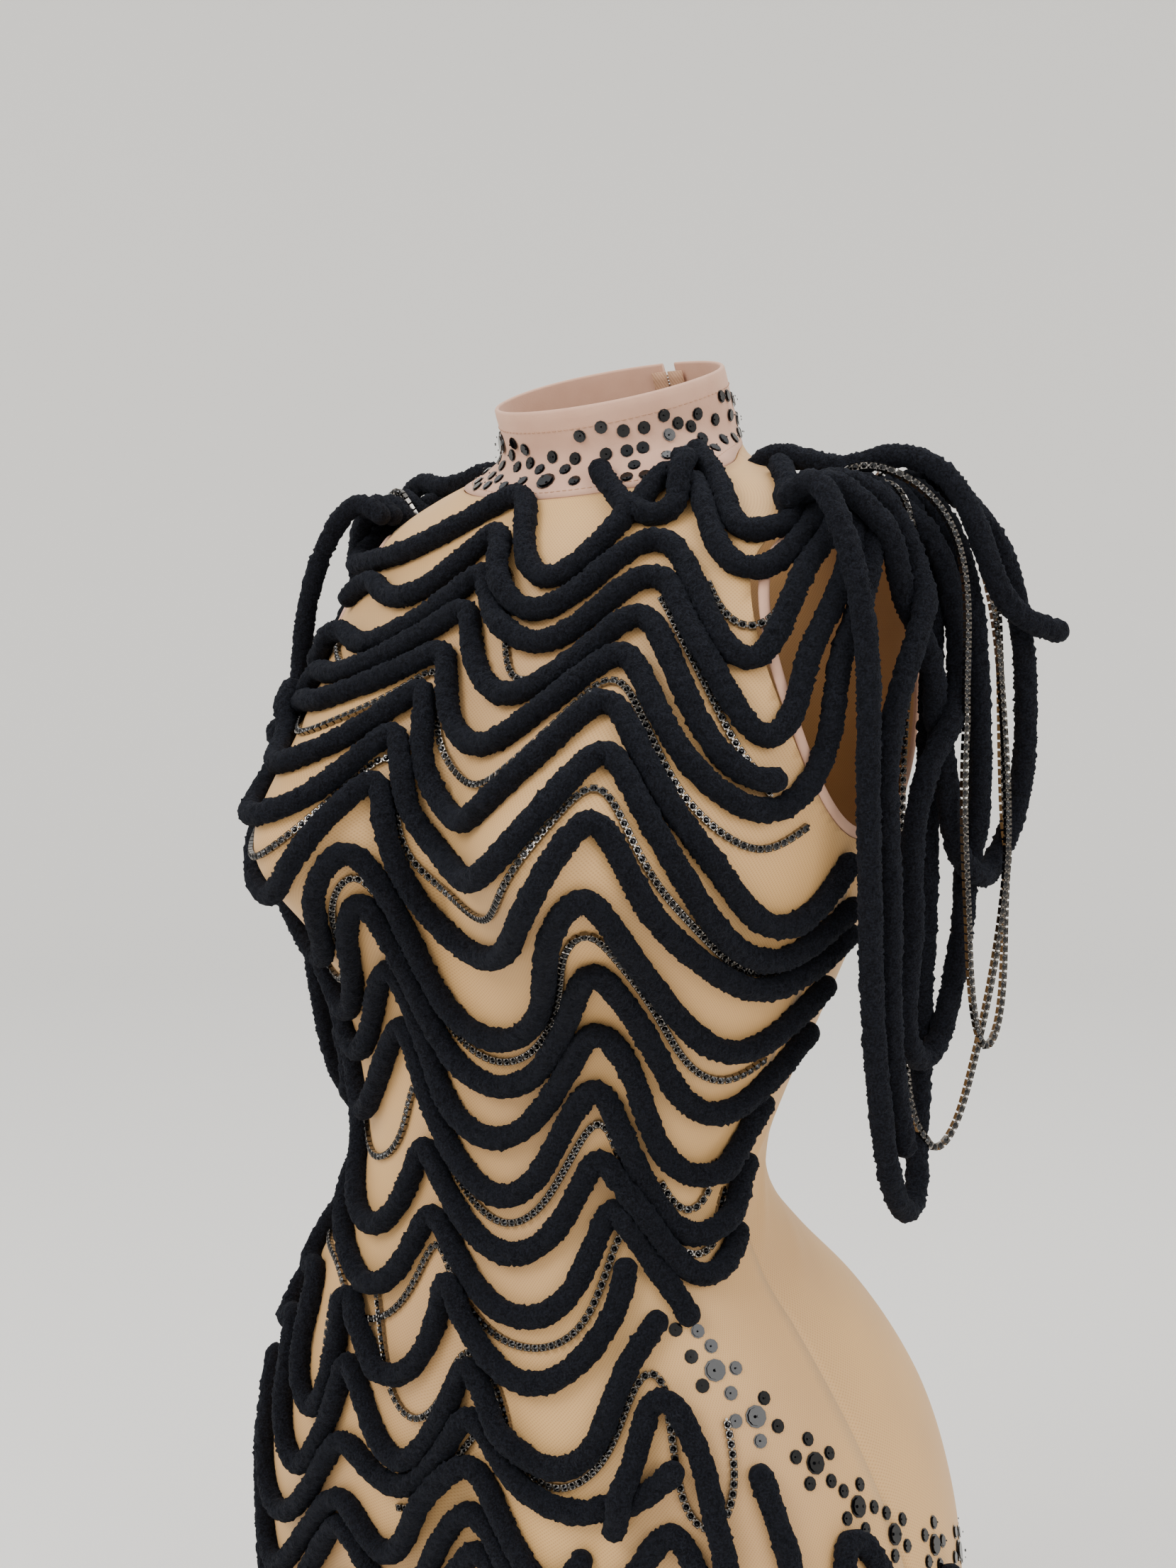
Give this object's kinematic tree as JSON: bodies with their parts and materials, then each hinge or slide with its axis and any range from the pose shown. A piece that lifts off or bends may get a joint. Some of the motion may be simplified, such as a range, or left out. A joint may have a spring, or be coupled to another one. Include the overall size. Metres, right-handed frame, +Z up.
{
  "type": "stage dress",
  "caption": "Sleeveless mesh stage dress in its worn shape, with a stand collar, swags of plush cord and cup chain, a swinging cord fringe at each shoulder and a back zip.",
  "frame": {"origin": "middle of the neck at the height of the side neck point, where the wearer or a body form holds the dress up", "axes": "+Z up along the body, the wearer faces -Y, the wearer's left is +X"},
  "size_m": [0.4206, 0.3006, 0.712],
  "materials": {
    "mesh": "sheer stretch mesh over a lining, tan",
    "collar": "two layers of matte stretch mesh, folded top edge",
    "binding": "folded stretch binding",
    "plush_cord": "deep plush pile, blue-black",
    "cup_chain": "gunmetal cups with dark faceted stones",
    "zip_tape": "woven polyester tape",
    "zip_coil": "nylon coil",
    "zip_metal": "die-cast, nickel plated"
  },
  "bodies": {
    "bodice": {"front_panel": "mesh", "back_panel_left": "mesh", "back_panel_right": "mesh", "collar_band": "collar", "hem_band": "binding", "left_armhole_binding": "binding", "right_armhole_binding": "binding", "zip_tape_left": "zip_tape", "zip_tape_right": "zip_tape", "zip_coil": "zip_coil", "zip_bottom_stop": "zip_metal", "cord_row_01": "plush_cord", "cord_row_02": "plush_cord", "cord_row_03": "plush_cord", "cord_row_04": "plush_cord", "cord_row_05": "plush_cord", "cord_row_06": "plush_cord", "cord_row_07": "plush_cord", "cord_row_08": "plush_cord", "cord_row_09": "plush_cord", "cord_row_10": "plush_cord", "cord_row_11": "plush_cord", "cord_row_12": "plush_cord", "cord_row_13": "plush_cord", "cord_row_14": "plush_cord", "cord_row_15": "plush_cord", "cord_row_16": "plush_cord", "cord_row_17": "plush_cord", "cord_row_18": "plush_cord", "cord_row_19": "plush_cord", "cord_row_20": "plush_cord", "chain_row_01": "cup_chain", "chain_row_02": "cup_chain", "chain_row_03": "cup_chain", "chain_row_04": "cup_chain", "chain_row_05": "cup_chain", "hip_loop_left": "plush_cord", "hip_loop_right": "plush_cord", "left_shoulder_cord": "plush_cord", "right_shoulder_cord": "plush_cord"},
    "zip_slider": {"zip_slider": "zip_metal"},
    "zip_pull_tab": {"zip_pull_tab": "zip_metal"},
    "left_fringe": {"left_fringe_loop_1": "plush_cord", "left_fringe_loop_2": "plush_cord", "left_fringe_strand_3": "plush_cord", "left_fringe_loop_4": "plush_cord", "left_fringe_strand_5": "plush_cord", "left_fringe_chain_6": "cup_chain", "left_fringe_chain_7": "cup_chain"},
    "right_fringe": {"right_fringe_loop_1": "plush_cord", "right_fringe_loop_2": "plush_cord", "right_fringe_strand_3": "plush_cord", "right_fringe_loop_4": "plush_cord", "right_fringe_strand_5": "plush_cord", "right_fringe_chain_6": "cup_chain", "right_fringe_chain_7": "cup_chain"}
  },
  "joints": [
    {"name": "zip_travel", "type": "hinge", "parent": "bodice", "child": "zip_slider", "pos_m": [0, -0.315, -0.12], "axis": [1, 0, 0], "range_deg": [-45, 0]},
    {"name": "pull_tab_swing", "type": "hinge", "parent": "zip_slider", "child": "zip_pull_tab", "pos_m": [0, 0.07449, 0.04333], "axis": [1, 0, 0], "range_deg": [0, 150]},
    {"name": "left_fringe_swing", "type": "hinge", "parent": "bodice", "child": "left_fringe", "pos_m": [0.139, 0, -0.004], "axis": [0, -1, 0], "range_deg": [0, 40]},
    {"name": "right_fringe_swing", "type": "hinge", "parent": "bodice", "child": "right_fringe", "pos_m": [-0.139, 0, -0.004], "axis": [0, 1, 0], "range_deg": [0, 40]}
  ]
}
